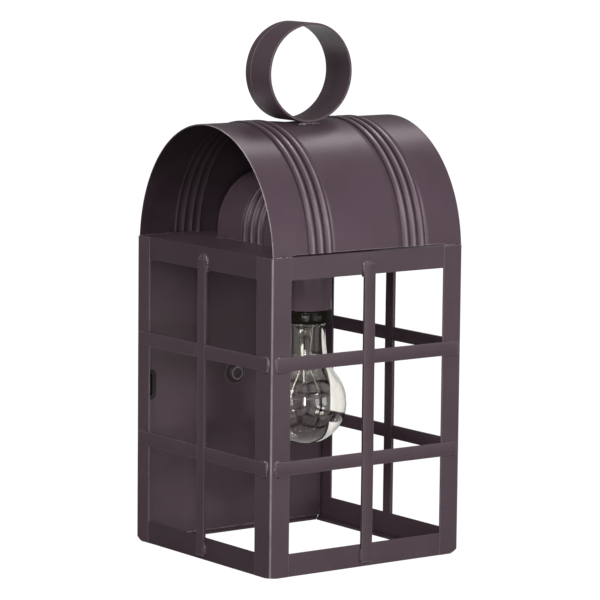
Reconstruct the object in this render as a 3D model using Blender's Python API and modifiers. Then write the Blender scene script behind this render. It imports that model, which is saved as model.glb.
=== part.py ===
"""Electric wall lantern with an arched roof, an open barred cage and a hanging clear bulb.

Units are metres, +Z is up, and the front of the lantern faces -Y. The origin is at the middle of the
lantern's underside. Sheet-metal pieces that touch keep a gap of 0.3 mm to each other.
"""

import math

import bmesh
import bpy
from mathutils import Matrix, Vector

# Driving dimensions of the cage
CAGE_WIDTH = 0.1623
CAGE_DEPTH = 0.1618
CAGE_HEIGHT = 0.2180
SHEET = 0.0010
GAP = 0.0003
EDGE_ROUNDING = 0.00022

# Corner posts: the width of each one's two flanges
FRONT_POST_FACE = 0.0160
FRONT_POST_SIDE = 0.0183
REAR_POST_FACE = 0.0141
REAR_POST_SIDE = 0.0147
POST_BEND_RADIUS = 0.0012

# Rails between the posts
TOP_RAIL_HEIGHT = 0.0142
BOTTOM_RAIL_HEIGHT = 0.0157
TOP_RAIL_FLANGE = 0.0100
BOTTOM_RAIL_FLANGE = 0.0117

# Bars over the openings
UPRIGHT_WIDTH = 0.0082
CROSS_WIDTH = 0.0096
UPRIGHT_PROUD = 0.0018
CROSS_PROUD = 0.0014
LAP_DEPTH = 0.0006
UPRIGHT_BOTTOM = 0.0030
UPRIGHT_TOP = 0.2135
CROSS_HEIGHTS = (0.0750, 0.1460)
CROSS_END_MARGIN = 0.0033

# Arched roof, vent hood and ring
ROOF_LENGTH = 0.1607
ROOF_APEX = 0.3025
ROOF_SPRING = 0.2132
ROOF_DENT = 0.0026
ROOF_DENT_REACH = (0.016, 0.020)
ROOF_SHEET = 0.0009
BEAD_RISE = 0.0010
BEAD_HALF_WIDTH = 0.0032
ROOF_BEAD_PITCH = 0.0068
ROOF_BEAD_GROUPS = (-0.0405, 0.0388)
HOOD_LENGTH = 0.0840
HOOD_RADIUS = 0.0399
HOOD_APEX = 0.2650
HOOD_BEAD_PITCH = 0.0083
RING_RADIUS = 0.0356
RING_WIDTH = 0.0270
RING_SHEET = 0.0016
RING_X = -0.0015

# Lamp: everything turned about one upright axis, a little forward of the cage's middle
LAMP_Y = -0.0087
COVER_RADIUS = 0.0181
COVER_BOTTOM = 0.1708
COVER_WALL = 0.0007
SOCKET_RIM_RADIUS = 0.0184
SOCKET_RIM_BOTTOM = 0.1614
SOCKET_RIM_TOP = 0.1705
SOCKET_BODY_RADIUS = 0.0170
SOCKET_BODY_TOP = 0.2060
SOCKET_BORE_RADIUS = 0.0143
SOCKET_BORE_TOP = 0.1960
SHELL_RADIUS = 0.0139
SHELL_WALL = 0.0004
NIPPLE_RADIUS = 0.0048
NIPPLE_BORE = 0.0030
NIPPLE_BOTTOM = 0.1985
NIPPLE_TOP = 0.2262
NIPPLE_HOLE = 0.0051
NUT_ACROSS_FLATS = 0.0142
NUT_THICKNESS = 0.0025

# Bulb of the common 60 mm size with a 26 mm screw base
BULB_RADIUS = 0.0295
BULB_CENTRE = 0.1044
BULB_TIP = 0.1861
GLASS_WALL = 0.0007
BASE_RADIUS = 0.0128
BASE_BOTTOM = 0.1609
BASE_TOP = 0.1806
THREAD_PITCH = 0.0036
THREAD_HEIGHT = 0.0004

# Fixing of the back plate
MOUNT_HEIGHT = 0.1141
MOUNT_NIPPLE_RADIUS = 0.0048
BUSHING_X = -0.0737
BUSHING_Z = 0.1118
BUSHING_LENGTH = 0.0220
BUSHING_WIDTH = 0.0090

# Worked out from the driving dimensions
HALF_WIDTH = CAGE_WIDTH / 2
HALF_DEPTH = CAGE_DEPTH / 2
RAIL_INSET = SHEET + GAP
PLATE_TOP = CAGE_HEIGHT
PLATE_BOTTOM = PLATE_TOP - SHEET
FRAME_TOP = PLATE_BOTTOM - GAP
ROOF_FOOT = PLATE_TOP + GAP
BACK_PLATE_REAR = HALF_DEPTH - RAIL_INSET - SHEET - GAP
BACK_PLATE_FRONT = BACK_PLATE_REAR - SHEET
# The roof's front foot is flush with the posts, and its rear beads don't stand out behind them.
ROOF_RADIUS = HALF_DEPTH - BEAD_RISE / 2
ROOF_SHIFT = -BEAD_RISE / 2
# The bars stand proud of the front only, so the cage sits back by half of that to centre the whole box.
CAGE_SHIFT = UPRIGHT_PROUD / 2

MATERIALS = {
    "painted_metal": ((0.078, 0.060, 0.070), 0.42, 0.0),
    "black_phenolic": ((0.012, 0.011, 0.010), 0.35, 0.0),
    "black_rubber": ((0.015, 0.014, 0.014), 0.70, 0.0),
    "brass": ((0.62, 0.47, 0.22), 0.32, 1.0),
    "zinc_steel": ((0.55, 0.56, 0.58), 0.35, 1.0),
    "clear_glass": ((0.92, 0.94, 0.93), 0.05, 0.0),
    "black_glass": ((0.02, 0.02, 0.025), 0.15, 0.0),
    "tungsten": ((0.30, 0.30, 0.31), 0.40, 1.0),
}


def clear_scene():
    for old in list(bpy.data.objects):
        bpy.data.objects.remove(old, do_unlink=True)


def make_collection(name):
    collection = bpy.data.collections.new(name)
    bpy.context.scene.collection.children.link(collection)
    return collection


def make_material(kind, name):
    colour, roughness, metallic = MATERIALS[kind]
    material = bpy.data.materials.new(name)
    material.use_nodes = True
    shader = material.node_tree.nodes["Principled BSDF"]
    shader.inputs["Base Color"].default_value = (*colour, 1.0)
    shader.inputs["Roughness"].default_value = roughness
    shader.inputs["Metallic"].default_value = metallic
    if kind == "clear_glass":
        shader.inputs["Transmission Weight"].default_value = 1.0
    return material


clear_scene()
LANTERN = make_collection("wall_lantern")
CUTTERS = make_collection("cutters")
CAGE = bpy.data.objects.new("cage_centre", None)
CAGE.location = (0, CAGE_SHIFT, 0)
LANTERN.objects.link(CAGE)
LAMP = bpy.data.objects.new("lamp_axis", None)
LAMP.location = (0, LAMP_Y, 0)
LAMP.parent = CAGE
LANTERN.objects.link(LAMP)


def add_object(name, data, kind, parent=CAGE):
    """Puts a finished mesh or curve into the lantern's collection with a material of its own."""
    obj = bpy.data.objects.new(name, data)
    obj.data.materials.append(make_material(kind, name + "_material"))
    obj.parent = parent
    LANTERN.objects.link(obj)
    return obj


def add_cutter(name, data, parent=CAGE):
    obj = bpy.data.objects.new(name, data)
    obj.parent = parent
    obj.hide_render = True
    obj.display_type = "WIRE"
    CUTTERS.objects.link(obj)
    return obj


def mesh_from(bm, name):
    bmesh.ops.recalc_face_normals(bm, faces=bm.faces)
    mesh = bpy.data.meshes.new(name)
    bm.to_mesh(mesh)
    bm.free()
    return mesh


def shade_round(obj, angle=35):
    obj.data.shade_smooth()
    obj.data.set_sharp_from_angle(angle=math.radians(angle))


def round_edges(obj, width=EDGE_ROUNDING, segments=1):
    bevel = obj.modifiers.new("rounded_edges", "BEVEL")
    bevel.width = width
    bevel.segments = segments
    bevel.limit_method = "ANGLE"
    bevel.angle_limit = math.radians(40)


def cut(obj, cutter):
    boolean = obj.modifiers.new("cut_" + cutter.name, "BOOLEAN")
    boolean.operation = "DIFFERENCE"
    boolean.solver = "EXACT"
    boolean.object = cutter


def box_mesh(name, low, high):
    bm = bmesh.new()
    bmesh.ops.create_cube(bm, size=1.0)
    low, high = Vector(low), Vector(high)
    size = high - low
    bmesh.ops.scale(bm, vec=size, verts=bm.verts)
    bmesh.ops.translate(bm, vec=(low + high) / 2, verts=bm.verts)
    return mesh_from(bm, name)


def cylinder_mesh(name, radius, length, segments=32):
    """A closed cylinder along Z, with its middle at the origin."""
    bm = bmesh.new()
    bmesh.ops.create_cone(
        bm, cap_ends=True, segments=segments, radius1=radius, radius2=radius, depth=length
    )
    return mesh_from(bm, name)


def prism_mesh(name, outline, length):
    """A prism with this outline in XY, from z = 0 to z = length."""
    bm = bmesh.new()
    corners = [bm.verts.new((x, y, 0)) for x, y in outline]
    face = bm.faces.new(corners)
    top = bmesh.ops.extrude_face_region(bm, geom=[face])
    moved = [item for item in top["geom"] if isinstance(item, bmesh.types.BMVert)]
    bmesh.ops.translate(bm, vec=(0, 0, length), verts=moved)
    return mesh_from(bm, name)


def turned(name, profile, kind, steps=32, parent=LAMP):
    """A closed profile of (radius, height) points turned about the parent's upright axis."""
    bm = bmesh.new()
    verts = [bm.verts.new((radius, 0, height)) for radius, height in profile]
    for first, second in zip(verts, verts[1:]):
        bm.edges.new((first, second))
    if profile[0][0] > 0 or profile[-1][0] > 0:
        bm.edges.new((verts[-1], verts[0]))
    mesh = bpy.data.meshes.new(name)
    bm.to_mesh(mesh)
    bm.free()
    obj = add_object(name, mesh, kind, parent)
    screw = obj.modifiers.new("turned", "SCREW")
    screw.axis = "Z"
    screw.steps = steps
    screw.render_steps = steps
    screw.use_merge_vertices = True
    screw.merge_threshold = 0.0001
    screw.use_smooth_shade = True
    return obj


# ---------------------------------------------------------------- cage


def post_outline(face, side):
    """The L section of a front left post, with its outer corner bent to a small radius."""
    bend = [
        (
            POST_BEND_RADIUS - POST_BEND_RADIUS * math.cos(turn),
            POST_BEND_RADIUS - POST_BEND_RADIUS * math.sin(turn),
        )
        for turn in (math.radians(22.5 * step) for step in range(5))
    ]
    return [(0, side), *bend, (face, 0), (face, SHEET), (SHEET, SHEET), (SHEET, side)]


def corner_posts():
    for row, face, side, sign_y in (
        ("front", FRONT_POST_FACE, FRONT_POST_SIDE, -1),
        ("rear", REAR_POST_FACE, REAR_POST_SIDE, 1),
    ):
        for hand, sign_x in (("left", -1), ("right", 1)):
            outline = [
                (sign_x * (HALF_WIDTH - x), sign_y * (HALF_DEPTH - y))
                for x, y in post_outline(face, side)
            ]
            name = f"post_{row}_{hand}"
            post = add_object(name, prism_mesh(name, outline, FRAME_TOP), "painted_metal")
            round_edges(post)


def angle_rail_mesh(name, half_span, height, flange, flange_up):
    """An angle rail along X with mitred ends.

    Its wall stands at y = 0 and its flange runs towards +Y, at the top or at the bottom of the wall.
    """
    section = [(0, 0), (0, height), (SHEET, height), (SHEET, SHEET), (flange, SHEET), (flange, 0)]
    bm = bmesh.new()
    low_end = []
    for depth, z in section:
        low_end.append(bm.verts.new((-half_span + depth, depth, height - z if flange_up else z)))
    face = bm.faces.new(low_end)
    far = bmesh.ops.extrude_face_region(bm, geom=[face])
    for item in far["geom"]:
        if isinstance(item, bmesh.types.BMVert):
            item.co.x = half_span - item.co.y
    return mesh_from(bm, name)


def rails():
    mitre_gap = GAP * 0.75
    for level, height, flange, flange_up, z in (
        ("bottom", BOTTOM_RAIL_HEIGHT, BOTTOM_RAIL_FLANGE, False, 0),
        ("top", TOP_RAIL_HEIGHT, TOP_RAIL_FLANGE, True, FRAME_TOP - TOP_RAIL_HEIGHT),
    ):
        for side, half_span, reach, turn in (
            ("front", HALF_WIDTH, HALF_DEPTH, 0),
            ("right", HALF_DEPTH, HALF_WIDTH, 90),
            ("rear", HALF_WIDTH, HALF_DEPTH, 180),
            ("left", HALF_DEPTH, HALF_WIDTH, 270),
        ):
            name = f"{level}_rail_{side}"
            span = half_span - RAIL_INSET - mitre_gap
            mesh = angle_rail_mesh(name, span, height, flange, flange_up)
            rail = add_object(name, mesh, "painted_metal")
            turn = math.radians(turn)
            outward = Vector((math.sin(turn), -math.cos(turn), 0))
            rail.location = outward * (reach - RAIL_INSET) + Vector((0, 0, z))
            rail.rotation_euler.z = turn
            round_edges(rail)


def upright_outline():
    """Side view of an upright bar: depth across, height up, with a lap notch for each cross bar."""
    back = RAIL_INSET - GAP
    notch = -CROSS_PROUD + LAP_DEPTH - GAP
    half_notch = CROSS_WIDTH / 2 + GAP
    points = [(-UPRIGHT_PROUD, UPRIGHT_BOTTOM), (-UPRIGHT_PROUD, UPRIGHT_TOP), (back, UPRIGHT_TOP)]
    for height in reversed(CROSS_HEIGHTS):
        points += [
            (back, height + half_notch),
            (notch, height + half_notch),
            (notch, height - half_notch),
            (back, height - half_notch),
        ]
    points.append((back, UPRIGHT_BOTTOM))
    return points


def cross_outline(half_span):
    """Plan view of a cross bar: length across, depth up, with a lap notch for the upright bar."""
    half_notch = UPRIGHT_WIDTH / 2 + GAP
    front = -CROSS_PROUD
    lap = -CROSS_PROUD + LAP_DEPTH
    return [
        (-half_span, -GAP),
        (-half_span, front),
        (-half_notch, front),
        (-half_notch, lap),
        (half_notch, lap),
        (half_notch, front),
        (half_span, front),
        (half_span, -GAP),
    ]


def bars():
    for side, half_span, reach, turn in (
        ("front", HALF_WIDTH, HALF_DEPTH, 0),
        ("right", HALF_DEPTH, HALF_WIDTH, 90),
        ("left", HALF_DEPTH, HALF_WIDTH, 270),
    ):
        turn = math.radians(turn)
        outward = Vector((math.sin(turn), -math.cos(turn), 0))
        name = f"upright_bar_{side}"
        upright = add_object(name, prism_mesh(name, upright_outline(), UPRIGHT_WIDTH), "painted_metal")
        # The outline's depth becomes the direction into the cage, its height becomes Z.
        inward = -outward
        along = Vector((0, 0, 1)).cross(inward)
        upright.matrix_local = Matrix.Translation(outward * reach - along * UPRIGHT_WIDTH / 2) @ Matrix(
            (
                (inward.x, 0, along.x, 0),
                (inward.y, 0, along.y, 0),
                (0, 1, 0, 0),
                (0, 0, 0, 1),
            )
        )
        round_edges(upright)
        for level, height in zip(("lower", "upper"), CROSS_HEIGHTS):
            name = f"cross_bar_{side}_{level}"
            outline = cross_outline(half_span - CROSS_END_MARGIN)
            cross = add_object(name, prism_mesh(name, outline, CROSS_WIDTH), "painted_metal")
            cross.location = outward * reach + Vector((0, 0, height - CROSS_WIDTH / 2))
            cross.rotation_euler.z = turn
            round_edges(cross)


def back_plate():
    reach = HALF_WIDTH - RAIL_INSET - SHEET - GAP
    low = (-reach, BACK_PLATE_FRONT, SHEET + GAP)
    high = (reach, BACK_PLATE_REAR, FRAME_TOP - SHEET - GAP)
    plate = add_object("back_plate", box_mesh("back_plate", low, high), "painted_metal")
    nipple_hole = add_cutter(
        "mounting_hole", cylinder_mesh("mounting_hole", MOUNT_NIPPLE_RADIUS + GAP, 0.02)
    )
    nipple_hole.location = (0, BACK_PLATE_FRONT, MOUNT_HEIGHT)
    nipple_hole.rotation_euler.x = math.radians(90)
    cut(plate, nipple_hole)
    slot_outline = slot_points(BUSHING_WIDTH / 2 - 0.0018, BUSHING_LENGTH / 2 - 0.0018)
    slot = add_cutter("bushing_hole", prism_mesh("bushing_hole", slot_outline, 0.02))
    slot.location = (BUSHING_X, BACK_PLATE_FRONT + 0.01, BUSHING_Z)
    slot.rotation_euler.x = math.radians(90)
    cut(plate, slot)


def slot_points(half_width, half_length, steps=8):
    """A long hole with round ends, its length along the second axis."""
    straight = half_length - half_width
    points = []
    for end in (1, -1):
        for step in range(steps + 1):
            turn = math.pi * step / steps
            points.append(
                (end * half_width * math.cos(turn), end * (straight + half_width * math.sin(turn)))
            )
    return points


def wire_bushing():
    """A black grooved bushing: a flange in front of the back plate and a collar through its hole."""
    flange = prism_mesh(
        "wire_bushing", slot_points(BUSHING_WIDTH / 2, BUSHING_LENGTH / 2), 0.0022
    )
    bushing = add_object("wire_bushing", flange, "black_rubber")
    bushing.location = (BUSHING_X, BACK_PLATE_FRONT - GAP, BUSHING_Z)
    bushing.rotation_euler.x = math.radians(90)
    collar = add_cutter(
        "bushing_collar",
        prism_mesh(
            "bushing_collar",
            slot_points(BUSHING_WIDTH / 2 - 0.0018 - GAP, BUSHING_LENGTH / 2 - 0.0018 - GAP),
            0.0040,
        ),
    )
    collar.location = (BUSHING_X, BACK_PLATE_REAR + 0.0006, BUSHING_Z)
    collar.rotation_euler.x = math.radians(90)
    union = bushing.modifiers.new("collar", "BOOLEAN")
    union.operation = "UNION"
    union.object = collar
    hole = add_cutter(
        "bushing_bore",
        prism_mesh("bushing_bore", slot_points(BUSHING_WIDTH / 2 - 0.0034, 0.0080), 0.02),
    )
    hole.location = (BUSHING_X, BACK_PLATE_FRONT + 0.01, BUSHING_Z)
    hole.rotation_euler.x = math.radians(90)
    cut(bushing, hole)


def top_plate():
    low = (-HALF_WIDTH, -HALF_DEPTH, PLATE_BOTTOM)
    high = (HALF_WIDTH, HALF_DEPTH, PLATE_TOP)
    plate = add_object("top_plate", box_mesh("top_plate", low, high), "painted_metal")
    holes = [("nipple_hole", 0, LAMP_Y, NIPPLE_HOLE)]
    holes += [("vent_hole_left", -0.027, 0, 0.008), ("vent_hole_right", 0.027, 0, 0.008)]
    for name, x, y, radius in holes:
        hole = add_cutter(name, cylinder_mesh(name, radius, 0.02, segments=24))
        hole.location = (x, y, PLATE_TOP)
        cut(plate, hole)


# ---------------------------------------------------------------- arched sheets


def bead_profile(length, bead_centres, plain_places=()):
    """Offsets (position along the arch's axis, rise of the bead) from end to end."""
    points = [(-length / 2, 0.0), (length / 2, 0.0)]
    points += [(place, 0.0) for place in plain_places]
    for centre in bead_centres:
        points += [
            (centre - BEAD_HALF_WIDTH, 0.0), (centre, BEAD_RISE), (centre + BEAD_HALF_WIDTH, 0.0)
        ]
    return sorted(points)


def arched_sheet(name, profile, radius, spring, foot, apex, steps):
    """An arch along X as an open sheet thickened inwards.

    The arch is half an ellipse whose widest place is at the spring height. It starts at the foot, or
    stands on short upright feet if the spring is higher than the foot.
    """
    stretch = (apex - spring) / radius
    start = math.asin(max(0.0, foot - spring) / (apex - spring))
    bm = bmesh.new()
    verts = []
    for x, rise in profile:
        away = radius + rise
        verts.append(bm.verts.new((x, -away * math.cos(start), away * math.sin(start))))
    edges = [bm.edges.new(pair) for pair in zip(verts, verts[1:])]
    bmesh.ops.spin(
        bm,
        geom=verts + edges,
        cent=(0, 0, 0),
        axis=(1, 0, 0),
        angle=-(math.pi - 2 * start),
        steps=steps,
        use_duplicate=False,
    )
    bmesh.ops.scale(bm, vec=(1, 1, stretch), verts=bm.verts)
    if spring > foot:
        feet = [edge for edge in bm.edges if all(abs(vert.co.z) < 1e-6 for vert in edge.verts)]
        grown = bmesh.ops.extrude_edge_only(bm, edges=feet)
        lower = [item for item in grown["geom"] if isinstance(item, bmesh.types.BMVert)]
        bmesh.ops.translate(bm, vec=(0, 0, foot - spring), verts=lower)
    bmesh.ops.translate(bm, vec=(0, 0, spring), verts=bm.verts)
    sheet = add_object(name, mesh_from(bm, name), "painted_metal")
    solidify = sheet.modifiers.new("sheet_thickness", "SOLIDIFY")
    solidify.thickness = ROOF_SHEET
    solidify.offset = -1
    shade_round(sheet)
    return sheet


def press_dent(sheet):
    """Presses the roof down a little where the ring stands on its ridge."""
    bm = bmesh.new()
    bm.from_mesh(sheet.data)
    bmesh.ops.triangulate(bm, faces=bm.faces)
    for vert in bm.verts:
        if vert.co.z > ROOF_SPRING + 0.06:
            along = ((vert.co.x - RING_X) / ROOF_DENT_REACH[0]) ** 2
            across = (vert.co.y / ROOF_DENT_REACH[1]) ** 2
            vert.co.z -= ROOF_DENT * math.exp(-along - across)
    bm.to_mesh(sheet.data)
    bm.free()


def roof():
    centres = [
        group + step * ROOF_BEAD_PITCH for group in ROOF_BEAD_GROUPS for step in (-1, 0, 1)
    ]
    plain_places = [RING_X + step * 0.006 for step in range(-4, 5)]
    profile = bead_profile(ROOF_LENGTH, centres, plain_places)
    sheet = arched_sheet(
        "roof", profile, ROOF_RADIUS, ROOF_SPRING, ROOF_FOOT, ROOF_APEX, steps=24
    )
    press_dent(sheet)
    sheet.location.y = ROOF_SHIFT


def vent_hood():
    centres = [step * HOOD_BEAD_PITCH for step in (-1, 0, 1)]
    profile = bead_profile(HOOD_LENGTH, centres)
    hood = arched_sheet(
        "vent_hood", profile, HOOD_RADIUS, HOOD_APEX - HOOD_RADIUS, ROOF_FOOT, HOOD_APEX, steps=16
    )
    hood.rotation_euler.z = math.radians(90)


def ring():
    bm = bmesh.new()
    bmesh.ops.create_cone(
        bm,
        cap_ends=False,
        segments=48,
        radius1=RING_RADIUS,
        radius2=RING_RADIUS,
        depth=RING_WIDTH,
    )
    strip = add_object("ring_handle", mesh_from(bm, "ring_handle"), "painted_metal")
    solidify = strip.modifiers.new("strip_thickness", "SOLIDIFY")
    solidify.thickness = RING_SHEET
    solidify.offset = -1
    strip.location = (RING_X, 0, ROOF_APEX - ROOF_DENT + GAP + RING_RADIUS)
    strip.rotation_euler.x = math.radians(90)
    shade_round(strip)


# ---------------------------------------------------------------- lamp


def hex_nut(name, bottom, parent=LAMP):
    """A lock nut with a plain bore, its axis upright."""
    corner_radius = NUT_ACROSS_FLATS / math.sqrt(3)
    nut = add_object(name, cylinder_mesh(name, corner_radius, NUT_THICKNESS, 6), "zinc_steel", parent)
    nut.location = (0, 0, bottom + NUT_THICKNESS / 2)
    bore = add_cutter(name + "_bore", cylinder_mesh(name + "_bore", NIPPLE_HOLE, 0.02, 24), nut)
    cut(nut, bore)
    return nut


def socket():
    cover_top = PLATE_BOTTOM - GAP
    turned(
        "socket_cover",
        [
            (NIPPLE_HOLE, cover_top),
            (COVER_RADIUS - 0.0010, cover_top),
            (COVER_RADIUS, cover_top - 0.0010),
            (COVER_RADIUS, COVER_BOTTOM),
            (COVER_RADIUS - COVER_WALL, COVER_BOTTOM),
            (COVER_RADIUS - COVER_WALL, cover_top - 0.0011),
            (NIPPLE_HOLE, cover_top - 0.0011),
        ],
        "painted_metal",
        steps=32,
    )
    turned(
        "socket_nipple",
        [
            (NIPPLE_RADIUS, NIPPLE_TOP),
            (NIPPLE_RADIUS, NIPPLE_BOTTOM),
            (NIPPLE_BORE, NIPPLE_BOTTOM),
            (NIPPLE_BORE, NIPPLE_TOP),
        ],
        "zinc_steel",
        steps=24,
    )
    hex_nut("lock_nut_upper", PLATE_TOP + GAP)
    hex_nut("lock_nut_lower", cover_top - 0.0011 - GAP - NUT_THICKNESS)
    turned(
        "socket_body",
        [
            (NIPPLE_HOLE, SOCKET_BODY_TOP),
            (SOCKET_BODY_RADIUS - 0.0015, SOCKET_BODY_TOP),
            (SOCKET_BODY_RADIUS, SOCKET_BODY_TOP - 0.0015),
            (SOCKET_BODY_RADIUS, SOCKET_RIM_TOP),
            (SOCKET_RIM_RADIUS - 0.0006, SOCKET_RIM_TOP),
            (SOCKET_RIM_RADIUS, SOCKET_RIM_TOP - 0.0006),
            (SOCKET_RIM_RADIUS, SOCKET_RIM_BOTTOM + 0.0010),
            (SOCKET_RIM_RADIUS - 0.0010, SOCKET_RIM_BOTTOM),
            (SOCKET_BORE_RADIUS + 0.0008, SOCKET_RIM_BOTTOM),
            (SOCKET_BORE_RADIUS, SOCKET_RIM_BOTTOM + 0.0008),
            (SOCKET_BORE_RADIUS, SOCKET_BORE_TOP),
            (NIPPLE_HOLE, SOCKET_BORE_TOP),
        ],
        "black_phenolic",
        steps=28,
    )
    shell_bottom = SOCKET_RIM_BOTTOM + 0.0022
    shell_top = SOCKET_BORE_TOP - GAP
    turned(
        "socket_shell",
        [
            (0.0085, shell_top),
            (SHELL_RADIUS, shell_top),
            (SHELL_RADIUS, shell_bottom),
            (SHELL_RADIUS - SHELL_WALL, shell_bottom),
            (SHELL_RADIUS - SHELL_WALL, shell_top - SHELL_WALL),
            (0.0085, shell_top - SHELL_WALL),
        ],
        "brass",
        steps=28,
    )
    contact_face = BULB_TIP + GAP
    turned(
        "socket_contact",
        [
            (0, shell_top),
            (0.0070, shell_top),
            (0.0070, shell_top - 0.0010),
            (0.0022, shell_top - 0.0010),
            (0.0022, contact_face + 0.0010),
            (0.0045, contact_face + 0.0010),
            (0.0045, contact_face),
            (0, contact_face),
        ],
        "brass",
        steps=20,
    )


def bulb_outline(radius, neck, neck_top):
    """Outer or inner line of the pear-shaped glass, from the bottom pole up to the open neck."""
    points = []
    last_turn = math.radians(128)
    steps = 10
    for step in range(steps + 1):
        turn = last_turn * step / steps
        points.append((radius * math.sin(turn), BULB_CENTRE - radius * math.cos(turn)))
    shoulder_radius, shoulder = points[-1]
    # From the sphere to the neck the wall follows a half wave that ends upright.
    flare_top = 0.1560
    slope_start = -math.tan(last_turn - math.pi / 2)
    rise = flare_top - shoulder
    flare_steps = 4
    for step in range(1, flare_steps + 1):
        t = step / flare_steps
        # Hermite curve in radius against height: starts on the sphere's slope, ends upright.
        h00 = 2 * t**3 - 3 * t**2 + 1
        h10 = t**3 - 2 * t**2 + t
        h01 = -2 * t**3 + 3 * t**2
        points.append(
            (h00 * shoulder_radius + h10 * slope_start * rise + h01 * neck, shoulder + rise * t)
        )
    points.append((neck, neck_top))
    return points


def bulb():
    neck_top = BASE_BOTTOM + 0.0100
    neck = BASE_RADIUS - 0.0004 - GAP
    # The glass draws in to the neck inside the base, so its full neck ends just under the base.
    full_neck = 0.0142
    lip = BASE_BOTTOM - GAP
    outer = bulb_outline(BULB_RADIUS, full_neck, lip - 0.0012)
    outer += [(BASE_RADIUS, lip), (neck, lip), (neck, neck_top)]
    inner = bulb_outline(BULB_RADIUS - GLASS_WALL, full_neck - GLASS_WALL, lip - 0.0014)
    inner += [(neck - GLASS_WALL, lip), (neck - GLASS_WALL, neck_top)]
    turned("bulb_glass", inner + outer[::-1], "clear_glass", steps=28)
    threads = []
    crest = BASE_RADIUS + THREAD_HEIGHT
    height = BASE_TOP - 0.0030
    while height > BASE_BOTTOM + 0.0045:
        threads += [(crest, height), (BASE_RADIUS, height - THREAD_PITCH / 2)]
        height -= THREAD_PITCH
    wall = 0.0004
    turned(
        "bulb_base",
        [
            (BASE_RADIUS - 0.0030, BASE_TOP),
            (BASE_RADIUS - 0.0006, BASE_TOP - 0.0010),
            *threads,
            (BASE_RADIUS, BASE_BOTTOM),
            (BASE_RADIUS - wall, BASE_BOTTOM),
            (BASE_RADIUS - wall, BASE_TOP - 0.0022),
            (BASE_RADIUS - 0.0030, BASE_TOP - 0.0012),
        ],
        "zinc_steel",
        steps=28,
    )
    insulator_top = BULB_TIP - 0.0010
    turned(
        "bulb_insulator",
        [
            (0, insulator_top),
            (0.0046, insulator_top),
            (BASE_RADIUS - 0.0031, BASE_TOP + GAP),
            (0, BASE_TOP + GAP),
        ],
        "black_glass",
        steps=32,
    )
    turned(
        "bulb_tip_contact",
        [
            (0, BULB_TIP),
            (0.0034, BULB_TIP - 0.0001),
            (0.0042, insulator_top + GAP),
            (0, insulator_top + GAP),
        ],
        "zinc_steel",
        steps=24,
    )


def bulb_inside():
    flare_radius = BASE_RADIUS - 0.0004 - GAP - GLASS_WALL - GAP
    stem_end = 0.1170
    turned(
        "bulb_stem",
        [
            (0, 0.1685),
            (flare_radius, 0.1685),
            (flare_radius, 0.1675),
            (0.0052, 0.1560),
            (0.0036, 0.1400),
            (0.0028, 0.1290),
            (0.0014, 0.1260),
            (0.0012, stem_end + 0.0016),
            (0.0020, stem_end + 0.0008),
            (0, stem_end),
        ],
        "clear_glass",
        steps=20,
    )
    filament_z = 0.1085
    filament_half = 0.0125
    wire = 0.00035
    for hand, sign in (("left", -1), ("right", 1)):
        points = [
            (sign * 0.0034, 0, 0.1310),
            (sign * 0.0050, 0, 0.1255),
            (sign * 0.0090, 0, 0.1180),
            (sign * filament_half, 0, filament_z + 0.0012),
        ]
        wire_tube(f"bulb_lead_{hand}", points, wire, "zinc_steel")
    arc = []
    for step in range(17):
        turn = math.pi * step / 16
        x = -filament_half * math.cos(turn)
        arc.append((x, -0.0060 * math.sin(turn), filament_z - 0.0012 * math.sin(turn)))
    wire_tube("bulb_filament", arc, 0.00055, "tungsten")


def wire_tube(name, points, radius, kind):
    curve = bpy.data.curves.new(name, "CURVE")
    curve.dimensions = "3D"
    curve.bevel_depth = radius
    curve.bevel_resolution = 2
    curve.use_fill_caps = True
    spline = curve.splines.new("POLY")
    spline.points.add(len(points) - 1)
    for point, place in zip(spline.points, points):
        point.co = (*place, 1)
    return add_object(name, curve, kind, LAMP)


# ---------------------------------------------------------------- fixing


def mounting_hardware():
    """Hollow nipple through the back plate with its lock nut, and the washer and cap nut in front."""
    axis = bpy.data.objects.new("mounting_axis", None)
    axis.parent = CAGE
    axis.location = (0, 0, MOUNT_HEIGHT)
    # The pieces are turned about Z; this axis lays Z down so that it points to the front.
    axis.rotation_euler.x = math.radians(90)
    LANTERN.objects.link(axis)
    plate_front = -BACK_PLATE_FRONT
    plate_rear = -BACK_PLATE_REAR
    rear_plane = -HALF_DEPTH
    washer_face = plate_front + GAP
    nut_base = washer_face + 0.0010 + GAP
    turned(
        "mounting_nipple",
        [
            (MOUNT_NIPPLE_RADIUS, nut_base + 0.0030),
            (MOUNT_NIPPLE_RADIUS, rear_plane),
            (NIPPLE_BORE, rear_plane),
            (NIPPLE_BORE, nut_base + 0.0030),
        ],
        "zinc_steel",
        steps=24,
        parent=axis,
    )
    turned(
        "cap_washer",
        [
            (NIPPLE_HOLE, washer_face + 0.0010),
            (0.0088, washer_face + 0.0010),
            (0.0088, washer_face),
            (NIPPLE_HOLE, washer_face),
        ],
        "painted_metal",
        steps=28,
        parent=axis,
    )
    turned(
        "cap_nut",
        [
            (0, nut_base + 0.0060),
            (0.0026, nut_base + 0.0057),
            (0.0048, nut_base + 0.0048),
            (0.0062, nut_base + 0.0034),
            (0.0066, nut_base + 0.0022),
            (0.0066, nut_base),
            (NIPPLE_HOLE, nut_base),
            (NIPPLE_HOLE, nut_base + 0.0034),
            (0, nut_base + 0.0040),
        ],
        "painted_metal",
        steps=28,
        parent=axis,
    )
    nut = hex_nut("mounting_lock_nut", 0, axis)
    thickness = 0.0018
    nut.data.transform(Matrix.Diagonal((1, 1, thickness / NUT_THICKNESS, 1)))
    nut.location = (0, 0, plate_rear - GAP - thickness / 2)


corner_posts()
rails()
bars()
back_plate()
wire_bushing()
top_plate()
roof()
vent_hood()
ring()
socket()
bulb()
bulb_inside()
mounting_hardware()
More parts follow.
